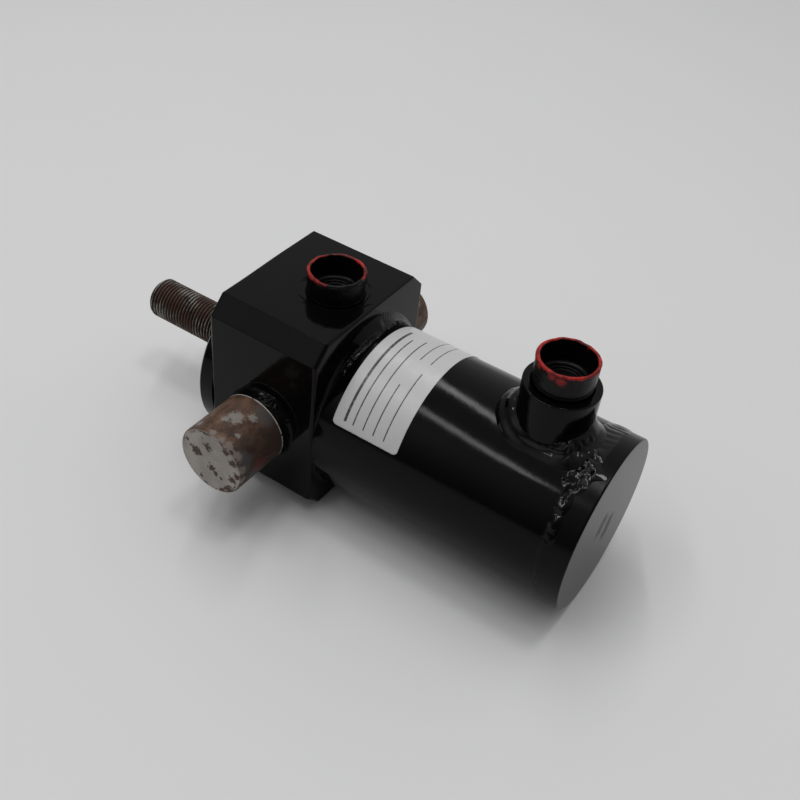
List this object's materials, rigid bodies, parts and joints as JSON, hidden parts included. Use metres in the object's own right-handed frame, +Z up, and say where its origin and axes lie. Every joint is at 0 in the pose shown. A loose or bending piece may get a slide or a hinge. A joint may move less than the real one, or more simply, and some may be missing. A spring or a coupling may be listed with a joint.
{
  "type": "hydraulic cylinder",
  "caption": "Short welded hydraulic cylinder with a chamfered trunnion head block, side pivot pins, threaded rod end and plugged ports on top.",
  "frame": {"origin": "crossing of the cylinder axis and the trunnion axis, in the middle of the head block", "axes": "+X along the cylinder towards the end cap, so the rod leaves along -X; -Y along the near trunnion pin; +Z up through the ports"},
  "size_m": [0.1956, 0.1164, 0.0903],
  "materials": {
    "black_paint": "gloss black paint, sprayed over the welds",
    "rusted_steel": "bare turned steel with brown surface rust and pits",
    "rod_steel": "ground and hard chromed, bare rusty thread",
    "turned_steel": "turned and oiled",
    "piston_iron": "turned and oiled",
    "seal_rubber": "moulded, oiled",
    "seal_urethane": "moulded, oiled",
    "wear_nylon": "machined filled plastic",
    "plug_plastic": "soft red plastic, overpainted black except on the rim",
    "label_film": "satin silver-white film, blank"
  },
  "bodies": {
    "cylinder_body": {"barrel_tube": "black_paint", "rear_cap": "black_paint", "rear_cap_weld": "black_paint", "head_block": "black_paint", "block_weld": "black_paint", "trunnion_pin_near": "rusted_steel", "trunnion_pin_far": "rusted_steel", "trunnion_weld_near": "black_paint", "trunnion_weld_far": "black_paint", "rear_port_boss": "black_paint", "rear_boss_weld": "black_paint", "gland": "black_paint", "gland_o_ring": "seal_rubber", "gland_backup_ring": "wear_nylon", "rod_seal": "seal_urethane", "rod_wiper": "seal_urethane", "rod_wear_ring": "wear_nylon", "data_label": "label_film"},
    "piston_rings": {"piston_seal": "seal_urethane", "piston_seal_expander": "seal_rubber", "piston_wear_ring": "wear_nylon"},
    "rod": {"piston_rod": "rod_steel", "stop_tube": "turned_steel", "piston": "piston_iron", "piston_o_ring": "seal_rubber", "piston_nut": "turned_steel"},
    "head_plug": {"head_port_plug": "plug_plastic"},
    "rear_plug": {"rear_port_plug": "plug_plastic"}
  },
  "joints": [
    {"name": "rod_slide", "type": "slide", "parent": "cylinder_body", "child": "piston_rings", "axis": [-1, 0, 0], "range_m": [0, 0.0381]},
    {"name": "rod_turn", "type": "hinge", "parent": "piston_rings", "child": "rod", "pos_m": [0, 0, 0], "axis": [-1, 0, 0], "continuous": true},
    {"name": "head_plug_pull", "type": "slide", "parent": "cylinder_body", "child": "head_plug", "axis": [0, 0, 1], "range_m": [0, 0.02]},
    {"name": "rear_plug_pull", "type": "slide", "parent": "cylinder_body", "child": "rear_plug", "axis": [0, 0, 1], "range_m": [0, 0.02]}
  ]
}
